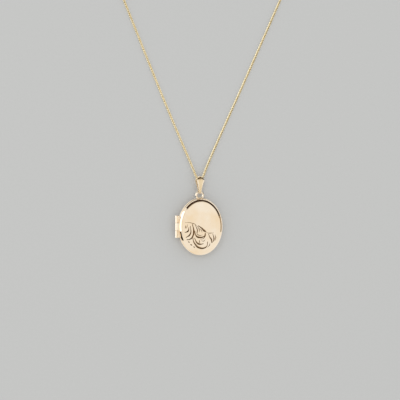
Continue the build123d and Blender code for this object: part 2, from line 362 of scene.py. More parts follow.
# ------------------------------------------------------------------ mesh helpers
def settle(
    bm: bmesh.types.BMesh,
    name: str,
    body: Body,
    slot: Slot,
    nodes: Iterable[str] = (),
    sharp_degrees: float = 35.0,
) -> bpy.types.Object:
    """Turns a finished bmesh into a dressed piece that rides on its body.

    Args:
        bm: the finished shape, in place; it is freed.
        name: the piece's name.
        body: the body that it moves with.
        slot: the material slot that it takes.
        nodes: the frame's nodes that it stands for.
        sharp_degrees: edges turned by more than this stay crisp.

    Returns:
        The piece.
    """
    bmesh.ops.remove_doubles(bm, verts=bm.verts, dist=TINY)
    bmesh.ops.recalc_face_normals(bm, faces=bm.faces)
    mesh = bpy.data.meshes.new(name)
    bm.to_mesh(mesh)
    bm.free()
    mesh.shade_smooth()
    mesh.set_sharp_from_angle(angle=math.radians(sharp_degrees))
    mesh.materials.append(finish_of(slot))
    piece = shown(name, mesh)
    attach(piece, body.value)
    if nodes:
        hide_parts(*nodes)
    LOG.info("%s on %s: %d faces", name, body.value, len(mesh.polygons))
    return piece


class Loft:
    """A loop of edges that is drawn through a row of rings.

    Each point of the loop keeps its turn, from 0 to a full turn, so a ring is a function
    from turn to place.
    """

    def __init__(self, bm: bmesh.types.BMesh) -> None:
        """Takes the bmesh that the rings go in."""
        self.bm = bm
        self.turn = bm.verts.layers.float.get("turn") or bm.verts.layers.float.new("turn")
        self.loop: list[bmesh.types.BMEdge] = []

    def start(self, steps: int, place: Place) -> "Loft":
        """Begins with a new circle of points, put in the first ring's places."""
        made = bmesh.ops.create_circle(self.bm, cap_ends=False, segments=steps, radius=1.0)
        points = made["verts"]
        for i, point in enumerate(points):
            point[self.turn] = FULL_TURN * i / steps
            point.co = place(point[self.turn])
        mine = set(points)
        self.loop = [e for e in self.bm.edges if e.verts[0] in mine and e.verts[1] in mine]
        return self

    def to(self, *places: Place) -> "Loft":
        """Draws the loop out to each ring in turn."""
        for place in places:
            made = bmesh.ops.extrude_edge_only(self.bm, edges=self.loop)["geom"]
            self.loop = [g for g in made if isinstance(g, bmesh.types.BMEdge)]
            for point in (g for g in made if isinstance(g, bmesh.types.BMVert)):
                point.co = place(point[self.turn])
        return self

    def cap(self) -> "Loft":
        """Fills the loop with one face."""
        bmesh.ops.contextual_create(self.bm, geom=self.loop)
        return self


def tube(
    steps: int, rings: Sequence[Place], closed_section: bool = True, cap_ends: bool = False
) -> bmesh.types.BMesh:
    """A loop drawn through rings.

    Args:
        steps: points round the loop.
        rings: the rings, in order.
        closed_section: whether the last ring joins the first.
        cap_ends: whether the first and last rings are filled.

    Returns:
        The bmesh.
    """
    bm = bmesh.new()
    loft = Loft(bm).start(steps, rings[0])
    first = list(loft.loop)
    loft.to(*rings[1:])
    if closed_section:
        loft.to(rings[0])
        bmesh.ops.remove_doubles(bm, verts=bm.verts, dist=TINY)
    if cap_ends:
        loft.cap()
        bmesh.ops.contextual_create(bm, geom=first)
    return bm


def torus(ring_radius: float, wire_radius: float, around: int, section: int) -> bmesh.types.BMesh:
    """A round wire bent in a circle about z, by spinning its section.

    Args:
        ring_radius: to the wire's middle.
        wire_radius: of the wire.
        around: steps of the spin.
        section: points round the wire.

    Returns:
        The bmesh.
    """
    bm = bmesh.new()
    upright = Matrix.Translation((ring_radius, 0, 0)) @ Matrix.Rotation(math.pi / 2, 4, "X")
    made = bmesh.ops.create_circle(bm, cap_ends=False, segments=section, radius=wire_radius, matrix=upright)
    bmesh.ops.spin(
        bm,
        geom=made["verts"] + list(bm.edges),
        cent=(0, 0, 0),
        axis=(0, 0, 1),
        angle=FULL_TURN,
        steps=around,
        use_merge=True,
        use_duplicate=False,
    )
    return bm


# ------------------------------------------------------------------ the oval case
@dataclass(frozen=True)
class CaseForm:
    """The sizes that both halves of the oval case share, and the rings of its oval."""

    half_width: float = 8.9 * MM
    half_height: float = 11.0 * MM
    thickness: float = 4.6 * MM
    parting: float = 2.3 * MM
    parting_gap: float = 0.02 * MM
    wall: float = 0.35 * MM
    shoulder: float = 1.5 * MM
    shoulder_share: float = 0.94
    crown: float = 135.0 * MM
    flange_out: float = 0.25 * MM
    flange_thick: float = 0.3 * MM
    inner_inset: float = 0.6 * MM
    lip_above: float = 0.45 * MM
    hub: float = 4.0 * MM
    soft: float = 0.04 * MM
    leaf_gap: float = 0.05 * MM
    steps: int = 256

    def point(self, inset: float, turn: float) -> Vector:
        """A point of the oval, smaller by inset all round, at z 0."""
        x = (self.half_width - inset) * math.cos(turn)
        y = (self.half_height - inset) * math.sin(turn)
        return Vector((x, y, 0.0))

    def oval(self, inset: float, height: float) -> Place:
        """A level ring of the oval."""
        return lambda turn: self.point(inset, turn) + Vector((0, 0, height))

    def face_height(self, point: Vector) -> float:
        """The crowned face's height over a point."""
        return self.thickness - (point.x**2 + point.y**2) / (2 * self.crown)

    def on_face(self, inset: float, drop: float) -> Place:
        """A ring of the oval that lies drop under the crowned face."""

        def place(turn: float) -> Vector:
            at = self.point(inset, turn)
            return at + Vector((0, 0, self.face_height(at) - drop))

        return place

    @property
    def edge_inset(self) -> float:
        """Where the face ends and the front's shoulder begins."""
        return self.flange_out + self.shoulder_share * self.shoulder

    def front_shoulder(self, share: float, wall: float = 0.0) -> Place:
        """A ring of the front's shoulder.

        Args:
            share: 0 at the face and 1 at the side.
            wall: how far inside the outer surface the ring lies.

        Returns:
            The ring.
        """

        def place(turn: float) -> Vector:
            edge = self.point(self.edge_inset, turn)
            slope = edge.length / self.crown
            tilt = slope + (math.pi / 2 - slope) * share
            centre_inset = self.edge_inset + self.shoulder * math.sin(slope)
            centre_z = self.face_height(edge) - self.shoulder * math.cos(slope)
            reach = self.shoulder - wall
            at = self.point(centre_inset - reach * math.sin(tilt), turn)
            return at + Vector((0, 0, centre_z + reach * math.cos(tilt)))

        return place

    def back_shoulder(self, share: float, wall: float = 0.0) -> Place:
        """A ring of the back's shoulder; the arguments are those of front_shoulder."""
        tilt = share * math.pi / 2
        reach = self.shoulder - wall
        inset = self.flange_out + self.shoulder - reach * math.sin(tilt)
        return self.oval(inset, self.shoulder - reach * math.cos(tilt))


@dataclass(frozen=True)
class Cut:
    """One stroke of the graver: it enters thin, swells and leaves thin.

    points are in millimetres on the face; width is the stroke's widest, in millimetres;
    peak is where along it that is; lean makes one wall of the cut broader.
    """

    points: tuple[tuple[float, float], ...]
    width: float
    peak: float = 0.55
    lean: float = 0.35


@dataclass(frozen=True)
class Engraving:
    """Foliate scrolls, bright cut over the lower half of the face."""

    cuts: tuple[Cut, ...] = (
        # the left leaf
        Cut(
            ((-3.8, 0.9), (-3.4, -0.6), (-3.3, -1.9), (-3.4, -2.9), (-4.0, -4.2), (-5.0, -4.85),
             (-5.9, -4.9)),
            0.62, 0.4,
        ),
        Cut(((-4.6, 0.2), (-4.4, -1.9), (-5.0, -3.2), (-6.3, -4.1)), 0.5, 0.6),
        Cut(((-5.2, -0.3), (-5.4, -1.4), (-6.0, -1.9), (-6.7, -2.1)), 0.5, 0.4),
        Cut(((-6.4, 0.5), (-6.6, -0.6)), 0.3),
        Cut(((-5.7, 0.9), (-5.9, 0.0), (-6.3, -0.8)), 0.2),
        Cut(((-6.7, 1.6), (-5.0, 1.6), (-3.4, 1.2), (-2.3, 0.8)), 0.2, 0.7),
        # the middle leaf
        Cut(((-2.7, 0.8), (-1.9, -1.0), (-1.8, -2.4)), 0.36, 0.7),
        Cut(((-2.2, 0.5), (-1.2, -0.7), (-0.9, -2.0)), 0.26, 0.7),
        Cut(
            ((-2.9, -1.6), (-2.5, -3.1), (-1.9, -3.9), (-0.9, -4.2), (0.2, -4.1), (1.1, -3.6), (1.4, -2.6)),
            0.58, 0.4,
        ),
        Cut(((-2.3, -1.9), (-1.7, -3.0), (-0.7, -3.4), (0.3, -3.2)), 0.24, 0.5),
        Cut(((-1.4, 0.3), (-0.2, -0.5), (0.8, -1.5), (1.6, -2.0)), 0.66, 0.75),
        Cut(((-0.9, -0.7), (-0.2, -1.4), (0.1, -2.3)), 0.2, 0.5),
        Cut(((1.5, -2.3), (1.4, -3.4), (0.6, -4.5), (-0.5, -4.8)), 0.3, 0.4),
        # the lower scroll
        Cut(
            ((-3.6, -4.3), (-3.3, -5.7), (-2.6, -6.8), (-1.6, -7.9), (0.1, -8.4), (1.4, -8.1), (2.2, -7.4),
             (2.4, -5.9)),
            0.6, 0.45,
        ),
        Cut(((-2.9, -4.4), (-2.3, -5.7), (-1.6, -6.5), (-0.6, -6.8), (0.6, -6.6)), 0.56, 0.6),
        Cut(((-1.0, -5.1), (-0.9, -6.2)), 0.3, 0.7),
        Cut(((-0.2, -5.3), (0.5, -5.6), (1.1, -5.4), (1.4, -4.7)), 0.22, 0.5),
        # the right leaf
        Cut(((1.8, -2.2), (2.7, -2.5), (3.7, -2.5), (4.8, -2.4)), 0.22, 0.5),
        Cut(((2.7, -2.9), (3.2, -4.1), (3.8, -4.9), (3.9, -6.1)), 0.5, 0.75),
        Cut(((4.4, -2.9), (4.8, -4.2), (4.8, -5.2), (4.1, -6.2)), 0.46, 0.5),
        Cut(((5.3, -3.1), (5.6, -4.3), (5.3, -5.5)), 0.28, 0.5),
        Cut(((3.3, -6.3), (3.1, -7.1), (2.4, -7.9)), 0.3, 0.5),
        # three small commas
        Cut(((-5.4, -5.7), (-4.9, -6.1)), 0.36),
        Cut(((-4.5, -6.8), (-3.9, -7.2)), 0.4),
        Cut(((-3.3, -7.7), (-2.7, -8.0)), 0.34),
    )
    samples: int = 9
    steepness: float = 0.62
    thinnest: float = 0.42
    swell: float = 0.6
    wide: float = 1.35
    stain_rise: float = 2.4
    reach: float = 1.0 * MM

    def line(self, cut: Cut) -> np.ndarray:
        """Points along a stroke, on a smooth curve through its own."""
        row = np.array(cut.points, float) * MM
        row = np.vstack([2 * row[0] - row[1], row, 2 * row[-1] - row[-2]])
        out = []
        for a, b, c, d in zip(row, row[1:], row[2:], row[3:]):
            for t in np.linspace(0, 1, self.samples, endpoint=False):
                square = (2 * a - 5 * b + 4 * c - d) * t**2
                cube = (3 * b - a - 3 * c + d) * t**3
                out.append(0.5 * (2 * b + (c - a) * t + square + cube))
        out.append(row[-2])
        return np.array(out)

    def depth(self, x: np.ndarray, y: np.ndarray) -> tuple[np.ndarray, np.ndarray]:
        """How deep the face is cut at each point.

        Args:
            x: the points' x.
            y: the points' y.

        Returns:
            The depths, and how stained each point is: fully at the bottom of a cut and
            not at all at its lips, which stay bright.
        """
        deep = np.zeros_like(x)
        stain = np.zeros_like(x)
        for cut in self.cuts:
            line = self.line(cut)
            share = np.linspace(0, 1, len(line))
            swell = np.where(share < cut.peak, share / cut.peak, (1 - share) / (1 - cut.peak))
            half = self.wide * cut.width * MM / 2 * np.maximum(self.thinnest, swell**self.swell)
            for a, b, wa, wb in zip(line, line[1:], half, half[1:]):
                run = b - a
                near = (np.abs(x - a[0]) < self.reach) & (np.abs(y - a[1]) < self.reach)
                px, py = x[near] - a[0], y[near] - a[1]
                t = np.clip((px * run[0] + py * run[1]) / (run @ run), 0, 1)
                ox, oy = px - t * run[0], py - t * run[1]
                side = np.sign(run[0] * oy - run[1] * ox)
                width = wa + (wb - wa) * t
                share_out = np.hypot(ox, oy) / (width * (1 + cut.lean * side))
                inwards = np.clip(1 - share_out, 0, 1)
                deep[near] = np.maximum(deep[near], self.steepness * width * inwards)
                stain[near] = np.maximum(stain[near], np.clip(self.stain_rise * inwards, 0, 1))
        return deep, stain


def crisp(bm: bmesh.types.BMesh, offset: float, over_degrees: float = 40.0) -> bmesh.types.BMesh:
    """Rounds a shape's sharp edges by a small amount.

    Args:
        bm: the shape.
        offset: how far the rounding reaches.
        over_degrees: only edges turned by more than this.

    Returns:
        The shape.
    """
    bmesh.ops.recalc_face_normals(bm, faces=bm.faces)
    limit = math.radians(over_degrees)
    edges = [e for e in bm.edges if len(e.link_faces) == 2 and e.calc_face_angle(0.0) > limit]
    bmesh.ops.bevel(
        bm,
        geom=edges,
        offset=offset,
        offset_type="OFFSET",
        segments=2,
        profile=0.5,
        affect="EDGES",
        clamp_overlap=True,
        material=-1,
    )
    return bm


@dataclass(frozen=True)
class CoverLeaf:
    """The front half: engraved shell, inner rim and the photo parts it holds."""

    form: CaseForm = CaseForm()
    engraving: Engraving = Engraving()
    patch_steps: int = 168
    patch_share: float = 0.6
    patch_round: float = 0.45
    patch_swell: float = math.sqrt(1.6)
    face_rings: int = 46
    plain_margin: float = 0.04
    shoulder_steps: int = 12
    inner_steps: int = 6
    sharp_degrees: float = 33.0
    lip_clearance: float = 0.08 * MM
    rim_soft: float = 0.03 * MM
    photo_levels: tuple[float, float, float, float] = (2.5 * MM, 3.2 * MM, 3.45 * MM, 3.65 * MM)
    rim_inset: float = 0.78 * MM
    rim_thick: float = 0.3 * MM
    rim_tall: float = 0.45 * MM

    def patch(self, u: float, v: float) -> Vector:
        """Where a point of a square goes in the rounded patch at the middle of the face.

        Args:
            u: across the square, from -1 to 1.
            v: up the square, from -1 to 1.

        Returns:
            The point, at z 0.
        """
        form = self.form
        disc_u, disc_v = u * math.sqrt(1 - v * v / 2), v * math.sqrt(1 - u * u / 2)
        square = (1 - self.patch_round) * math.sqrt(0.5)
        reach = self.patch_share * self.patch_swell
        x = (square * u + self.patch_round * disc_u) * reach
        y = (square * v + self.patch_round * disc_v) * reach
        across = form.half_width - form.edge_inset
        tall = form.half_height - form.edge_inset
        return Vector((x * across, y * tall, 0.0))

    def face_ring(self, share: float) -> Place:
        """A ring between the patch, at share 0, and the face's edge, at share 1."""
        right = math.pi / 2

        def place(turn: float) -> Vector:
            quarter = round(turn / right)
            v = math.sqrt(2) * math.sin(turn - quarter * right)
            corner = Matrix.Rotation(quarter * right, 2) @ Vector((1.0, max(-1.0, min(1.0, v))))
            return self.patch(*corner).lerp(self.form.point(self.form.edge_inset, turn), share)

        return place

    def face(self, bm: bmesh.types.BMesh) -> Loft:
        """The engraved face: a fine patch with rings round it, cut by the graver.

        Args:
            bm: where it is made.

        Returns:
            A loft whose loop is the face's edge.
        """
        bmesh.ops.create_grid(bm, x_segments=self.patch_steps, y_segments=self.patch_steps, size=1.0)
        loft = Loft(bm)
        deep_layer = bm.verts.layers.float.new(CUT_ATTRIBUTE)
        for point in bm.verts:
            u, v = point.co.xy
            point[loft.turn] = math.atan2(v * math.sqrt(1 - u * u / 2), u * math.sqrt(1 - v * v / 2))
            point.co = self.patch(u, v)
        loft.loop = [e for e in bm.edges if e.is_boundary]
        loft.to(*(self.face_ring(i / self.face_rings) for i in range(1, self.face_rings + 1)))
        flat = np.array([v.co[:2] for v in bm.verts])
        across = self.form.half_width - self.form.edge_inset
        tall = self.form.half_height - self.form.edge_inset
        inside = 1 - (flat[:, 0] / across) ** 2 - (flat[:, 1] / tall) ** 2
        fade = np.clip(inside / self.plain_margin, 0, 1)
        deep, stain = self.engraving.depth(flat[:, 0], flat[:, 1])
        for point, cut, dull in zip(bm.verts, deep * fade, stain * fade):
            point[deep_layer] = dull
            point.co.z = self.form.face_height(point.co) - cut
        return loft

    def shell(self) -> bpy.types.Object:
        """The pressed front with its engraved face."""
        form = self.form
        bm = bmesh.new()
        loft = self.face(bm)
        low = form.parting + form.parting_gap
        flange_top = low + form.flange_thick
        relief_top = form.parting + form.lip_above + self.lip_clearance
        relief = form.inner_inset - self.lip_clearance
        soft = form.soft
        slight = 0.3 * soft
        profile = (
            (form.flange_out, flange_top + soft),
            (form.flange_out - slight, flange_top + slight),
            (form.flange_out - soft, flange_top),
            (soft, flange_top),
            (slight, flange_top - slight),
            (0, flange_top - soft),
            (0, low + soft),
            (slight, low + slight),
            (soft, low),
            (relief, low),
            (relief, relief_top),
            (form.inner_inset, relief_top),
        )
        steps, inner = self.shoulder_steps, self.inner_steps
        loft.to(*(form.front_shoulder(i / steps) for i in range(1, steps + 1)))
        loft.to(*(form.oval(*corner) for corner in profile))
        loft.to(*(form.front_shoulder(1 - i / inner, form.wall) for i in range(inner + 1)))
        loft.to(form.on_face(form.hub, form.wall))
        loft.cap()
        return settle(bm, "cover_shell", Body.COVER, Slot.ENGRAVED, ("front_shell",), self.sharp_degrees)

    def rim(self) -> bpy.types.Object:
        """The band inside the cover that grips the photo frame."""
        form = self.form
        low = form.parting + form.lip_above + self.lip_clearance
        high = low + self.rim_tall
        outer, inner = self.rim_inset, self.rim_inset + self.rim_thick
        rings = [form.oval(*corner) for corner in ((outer, low), (outer, high), (inner, high), (inner, low))]
        bm = crisp(tube(form.steps, rings), self.rim_soft)
        return settle(bm, "cover_inner_rim", Body.COVER, Slot.POLISHED, ("front_rim",))

    def build(self) -> None:
        """Makes the front half."""
        self.shell()
        self.rim()
        seat = self.rim_inset + self.rim_thick + self.form.leaf_gap
        PhotoLeaf(self.form, "cover", Body.COVER, seat, self.photo_levels, "front").build()


@dataclass(frozen=True)
class CaseLeaf:
    """The back half: plain shell, the rim with its snap bead, and the photo parts."""

    form: CaseForm = CaseForm()
    shoulder_steps: int = 14
    inner_steps: int = 8
    sharp_degrees: float = 33.0
    base_inset: float = 2.0 * MM
    photo_levels: tuple[float, float, float, float] = (1.87 * MM, 1.17 * MM, 0.92 * MM, 0.72 * MM)
    lip_thick: float = 0.3 * MM
    bead_proud: float = 0.05 * MM
    bead_half: float = 0.8 * MM
    bead_tall: float = 0.2 * MM
    rim_steps: int = 512

    def shell(self) -> bpy.types.Object:
        """The pressed back, flat where it rests."""
        form = self.form
        soft, steps, inner = form.soft, self.shoulder_steps, self.inner_steps
        under = form.parting - form.flange_thick
        profile = (
            (form.flange_out, under - soft),
            (form.flange_out - soft, under),
            (soft, under),
            (0.0, under + soft),
            (0.0, form.parting - soft),
            (soft, form.parting),
            (form.inner_inset, form.parting),
        )
        rings = [form.oval(self.base_inset, 0.0)]
        rings += [form.back_shoulder(i / steps) for i in range(steps + 1)]
        rings += [form.oval(*corner) for corner in profile]
        rings += [form.back_shoulder(1 - i / inner, form.wall) for i in range(inner + 1)]
        rings.append(form.oval(self.base_inset, form.wall))
        bm = tube(form.steps, rings, closed_section=False, cap_ends=True)
        return settle(bm, "case_shell", Body.CASE, Slot.POLISHED, ("back_shell",), self.sharp_degrees)

    def rim(self) -> bpy.types.Object:
        """The band soldered inside the back, with its bead opposite the hinge."""
        form = self.form
        low = form.shoulder
        top = form.parting + form.lip_above
        bead_middle = (form.parting + form.parting_gap + top) / 2

        def outer(height: float) -> Place:
            across = max(0.0, 1 - ((height - bead_middle) / self.bead_tall) ** 2)

            def place(turn: float) -> Vector:
                at = form.point(form.inner_inset, turn)
                along = max(0.0, 1 - (at.y / self.bead_half) ** 2) if at.x > 0 else 0.0
                at.x += self.bead_proud * math.sqrt(across) * along**0.25
                return at + Vector((0, 0, height))

            return place

        bead = [bead_middle + self.bead_tall * k / 4 for k in range(-4, 5)]
        rings = [outer(height) for height in (low, form.parting, *bead, top)]
        rings += [form.oval(form.inner_inset + self.lip_thick, height) for height in (top, low)]
        bm = tube(self.rim_steps, rings)
        return settle(bm, "case_inner_rim", Body.CASE, Slot.POLISHED, ("back_rim",))

    def build(self) -> None:
        """Makes the back half."""
        self.shell()
        self.rim()
        seat = self.form.inner_inset + self.lip_thick + self.form.leaf_gap
        PhotoLeaf(self.form, "case", Body.CASE, seat, self.photo_levels, "back").build()


@dataclass(frozen=True)
class PhotoLeaf:
    """The snap-in frame, clear window and card that one half holds.

    levels are the heights of the frame's showing side, the frame's seat, the window's
    far side and the card's far side.
    """

    form: CaseForm
    name: str
    body: Body
    seat: float
    levels: tuple[float, float, float, float]
    half: str
    frame_wide: float = 1.1 * MM
    card_margin: float = 0.2 * MM
    air: float = 0.01 * MM
    frame_round: float = 0.22 * MM
    frame_corner: float = 0.07 * MM
    line_at: float = 0.47 * MM
    line_half: float = 0.05 * MM
    line_deep: float = 0.06 * MM
    sheet_soft: float = 0.02 * MM

    def frame(self) -> None:
        """The oval frame, with a rounded face and a turned line."""
        showing, seat = self.levels[:2]
        into = math.copysign(1.0, seat - showing)
        wide, bend, part = self.frame_wide, self.frame_round, self.frame_corner
        section = [
            (0.0, seat), (0.0, showing + bend * into), (part, showing + part * into), (bend, showing),
            (self.line_at - self.line_half, showing), (self.line_at, showing + self.line_deep * into),
            (self.line_at + self.line_half, showing), (wide - bend, showing),
            (wide - part, showing + part * into), (wide, showing + bend * into), (wide, seat),
        ]
        rings = [self.form.oval(self.seat + inset, height) for inset, height in section]
        bm = tube(self.form.steps, rings)
        settle(bm, f"{self.name}_photo_frame", self.body, Slot.POLISHED, (f"{self.half}_photo_frame",))

    def sheet(self, what: str, slot: Slot, inset: float, near: float, far: float, node: str) -> None:
        """One flat oval sheet.

        Args:
            what: the last part of its name.
            slot: its finish.
            inset: how much smaller than the case it is.
            near: the height of its showing side.
            far: the height of its other side.
            node: the frame's node that it stands for.
        """
        form = self.form
        corners = ((form.hub, near), (inset, near), (inset, far), (form.hub, far))
        rings = [form.oval(*corner) for corner in corners]
        bm = crisp(tube(form.steps, rings, closed_section=False, cap_ends=True), self.sheet_soft)
        settle(bm, f"{self.name}_{what}", self.body, slot, (node,))

    def build(self) -> None:
        """Makes the three parts."""
        _, seat, window, card = self.levels
        self.frame()
        air = math.copysign(self.air, card - window)
        self.sheet("window", Slot.ACETATE, self.seat, seat + air, window - air, f"{self.half}_window")
        inset = self.seat + self.card_margin
        self.sheet("photo_card", Slot.CARD, inset, window, card, f"{self.half}_photo_card")


# ------------------------------------------------------------------ hinge
@dataclass(frozen=True)
class Hinge:
    """Three soldered knuckles on a wire pin."""

    form: CaseForm = CaseForm()
    x: float = -9.45 * MM
    z: float = 2.31 * MM
    length: float = 8.6 * MM
    radius: float = 0.45 * MM
    gap: float = 0.06 * MM
    pin_radius: float = 0.2 * MM
    clearance: float = 0.03 * MM
    leaf_near: float = 0.1 * MM
    leaf_far: float = 0.55 * MM
    leaf_root: float = 0.03 * MM
    leaf_lap: float = 0.12 * MM
    arc_points: int = 34
    leaf_points: int = 7
    stations: int = 7
    soft: float = 0.05 * MM
    pin_dome: tuple[tuple[float, float], ...] = ((0.6, 0.0), (0.88, 0.01 * MM), (1.0, 0.05 * MM))
    pin_points: int = 28

    def outline(self, y: float, up: float, shrink: float) -> list[Vector]:
        """A knuckle's section: the barrel with the leaf that runs to the case.

        Args:
            y: where along the hinge.
            up: 1 if the leaf is on the cover, -1 if it is on the back.
            shrink: how much smaller the section is.

        Returns:
            Its points, about the pin.
        """
        radius = self.radius - shrink
        begin = math.asin(self.leaf_near / self.radius)
        points = []
        for i in range(self.arc_points):
            angle = begin - (begin + 1.5 * math.pi) * i / (self.arc_points - 1)
            points.append((radius * math.cos(angle), radius * math.sin(angle)))
        form = self.form
        wall = -(form.half_width - form.flange_out) * math.sqrt(1 - (y / form.half_height) ** 2)
        end = wall + self.leaf_lap - self.x
        near, far = self.leaf_near + shrink, self.leaf_far - shrink
        points += [(self.leaf_root, 0.5 * (radius + far)), (self.leaf_lap, far), (0.5 * end, far), (end, far)]
        points += [(end, 0.5 * (near + far)), (end, near), (0.75 * end, near)]
        return [Vector((px, y, pz * up)) for px, pz in points]

    def knuckle(self, number: int, bore: float, up: float, name: str, body: Body) -> None:
        """One knuckle.

        Args:
            number: its place from the foot end.
            bore: the radius of its hole.
            up: 1 on the cover, -1 on the back.
            name: the last part of its name.
            body: the body that it rides on.
        """
        pitch = self.length / 3
        low = -self.length / 2 + number * pitch + self.gap / 2
        high = low + pitch - self.gap
        middle = Vector((self.x, 0, self.z))
        stops = [(low, self.soft), (low + self.soft, 0.0)]
        stops += [(low + (high - low) * k / self.stations, 0.0) for k in range(1, self.stations)]
        stops += [(high - self.soft, 0.0), (high, self.soft)]
        count = self.arc_points + self.leaf_points

        def outer(y: float, shrink: float) -> Place:
            points = self.outline(y, up, shrink)
            return lambda turn: points[round(turn / FULL_TURN * count) % count] + middle

        def inner(y: float) -> Place:
            points = self.outline(y, up, 0.0)

            def place(turn: float) -> Vector:
                at = points[round(turn / FULL_TURN * count) % count]
                out = Vector((at.x, 0, at.z)).normalized()
                return out * bore + Vector((0, y, 0)) + middle

            return place

        rings = [outer(*stop) for stop in stops] + [inner(high), inner(low)]
        bm = tube(count, rings)
        settle(bm, f"knuckle_{name}", body, Slot.POLISHED, (f"hinge_knuckle_{name}",))

    def pin(self) -> None:
        """The wire pin, its ends filed flush and slightly domed."""
        half = self.length / 2
        stops = [(share, -half + back) for share, back in self.pin_dome]
        stops += [(share, half - back) for share, back in reversed(self.pin_dome)]

        def ring(share: float, y: float) -> Place:
            reach = share * self.pin_radius
            return lambda turn: Vector((self.x + reach * math.cos(turn), y, self.z + reach * math.sin(turn)))

        bm = tube(self.pin_points, [ring(*stop) for stop in stops], closed_section=False, cap_ends=True)
        settle(bm, "hinge_wire_pin", Body.CASE, Slot.PIN, ("hinge_pin",))

    def build(self) -> None:
        """Makes the hinge."""
        self.knuckle(0, self.pin_radius, -1.0, "lower", Body.CASE)
        self.knuckle(1, self.pin_radius + self.clearance, 1.0, "middle", Body.COVER)
        self.knuckle(2, self.pin_radius, -1.0, "upper", Body.CASE)
        self.pin()


# ------------------------------------------------------------------ ring and bail
@dataclass(frozen=True)
class Suspension:
    """The soldered ring at the top of the case and the folded bail it hangs from."""

    ring_radius: float = 1.34 * MM
    ring_wire: float = 0.36 * MM
    ring_y: float = 12.2 * MM
    z: float = 1.58 * MM
    loop_y: float = 18.0 * MM
    loop_radius: float = 1.45 * MM
    eye_y: float = 13.49 * MM
    eye_radius: float = 0.8 * MM
    sheet: float = 0.25 * MM
    edge_sheet: float = 0.12 * MM
    foot_y_mm: float = 13.29
    waist_y_mm: float = 15.3
    fold_y_mm: float = 18.0
    foot_half_mm: float = 0.45
    flare: float = 0.174
    flare_bend: float = 0.01975
    fold_half_mm: float = 1.52
    fold_taper: float = 0.637
    top_half_mm: float = 0.66
    bevel_in: float = 0.36
    panel_in: float = 0.7
    soft: float = 0.025 * MM
    steps: int = 144

    def ring(self) -> None:
        """The round wire ring."""
        bm = torus(self.ring_radius, self.ring_wire, 72, 28)
        bmesh.ops.transform(bm, matrix=Matrix.Translation((0, self.ring_y, self.z)), verts=bm.verts)
        settle(bm, "soldered_top_ring", Body.CASE, Slot.POLISHED, ("top_ring",))

    def side(self, turn: float) -> tuple[Vector, Vector]:
        """The bail seen from its side: a teardrop round the chain and the ring.

        Args:
            turn: how far round, from the top.

        Returns:
            The outer surface's point and the way out of it.
        """
        apart = self.loop_y - self.eye_y
        bend = math.acos((self.eye_radius - self.loop_radius) / apart)
        straight = math.sqrt(apart**2 - (self.loop_radius - self.eye_radius) ** 2)
        top = self.loop_radius * bend
        low = self.eye_radius * (math.pi - bend)
        whole = top + straight + low
        wrapped = turn if turn <= math.pi else turn - FULL_TURN
        go = abs(wrapped) / math.pi * whole
        if go <= top:
            angle, base, reach = go / self.loop_radius, self.loop_y, self.loop_radius
        elif go <= top + straight:
            share = (go - top) / straight
            angle = bend
            base = self.loop_y - apart * share
            reach = self.loop_radius + (self.eye_radius - self.loop_radius) * share
        else:
            angle, base, reach = bend + (go - top - straight) / self.eye_radius, self.eye_y, self.eye_radius
        sign = 1.0 if wrapped >= 0 else -1.0
        out = Vector((0, math.cos(angle), sign * math.sin(angle)))
        return Vector((0, base, self.z)) + out * reach, out

    def lift(self, at: Vector) -> float:
        """How far out of the strip's inner surface a point of it is."""
        turns = [FULL_TURN * i / self.steps for i in range(self.steps)]
        flat = Vector((0, at.y, at.z))
        nearest = min(turns, key=lambda turn: (self.side(turn)[0] - flat).length)
        outer, out = self.side(nearest)
        return self.sheet - (outer - flat).dot(out)

    def half_width(self, y: float) -> float:
        """Half the leaf's width at a height on the bail: a flare up to its fold, then a taper."""
        at = y / MM
        up = at - self.foot_y_mm
        if up < 0:
            wide = self.foot_half_mm
        elif at < self.fold_y_mm:
            wide = self.foot_half_mm + self.flare * up + self.flare_bend * up * (at - self.waist_y_mm)
        else:
            wide = max(self.top_half_mm, self.fold_half_mm - self.fold_taper * (at - self.fold_y_mm))
        return wide * MM

    def strip_ring(self, sign: float, inward: float, depth: float) -> Place:
        """One line along the folded strip.

        Args:
            sign: which half of the strip.
            inward: how far in from its edge, as a share of half its width.
            depth: how far under its outer surface.

        Returns:
            The line as a ring.
        """

        def place(turn: float) -> Vector:
            at, out = self.side(turn)
            x = sign * self.half_width(at.y) * (1 - inward)
            return at - out * depth + Vector((x, 0, 0))

        return place

    def bail(self) -> None:
        """The folded strip with bevelled sides."""
        dip = self.sheet - self.edge_sheet
        half = [(0.0, self.sheet), (0.0, dip), (self.bevel_in, 0.0), (self.panel_in, 0.0)]
        rings = [self.strip_ring(1, *corner) for corner in half]
        rings += [self.strip_ring(-1, *corner) for corner in reversed(half)]
        bm = tube(self.steps, rings)
        for face in bm.faces:
            at = face.calc_center_median()
            # The inner side takes the filed gold, whose paler tone is painted light.
            if self.lift(at) < 0.1 * self.sheet:
                face.material_index = 2
            # The middle panel takes the satin gold, whose darker tone is painted shade.
            elif abs(at.x) < 0.5 * self.half_width(at.y):
                face.material_index = 1
        crisp(bm, self.soft, over_degrees=50.0)
        piece = settle(bm, "folded_bail", Body.BAIL, Slot.POLISHED, ("bail",), 14.0)
        for finish in (SATIN_WITH_PAINTED_SHADE, FILED_WITH_PAINTED_LIGHT):
            piece.data.materials.append(finish.material())

    def build(self) -> None:
        """Makes the ring and the bail."""
        self.ring()
        self.bail()


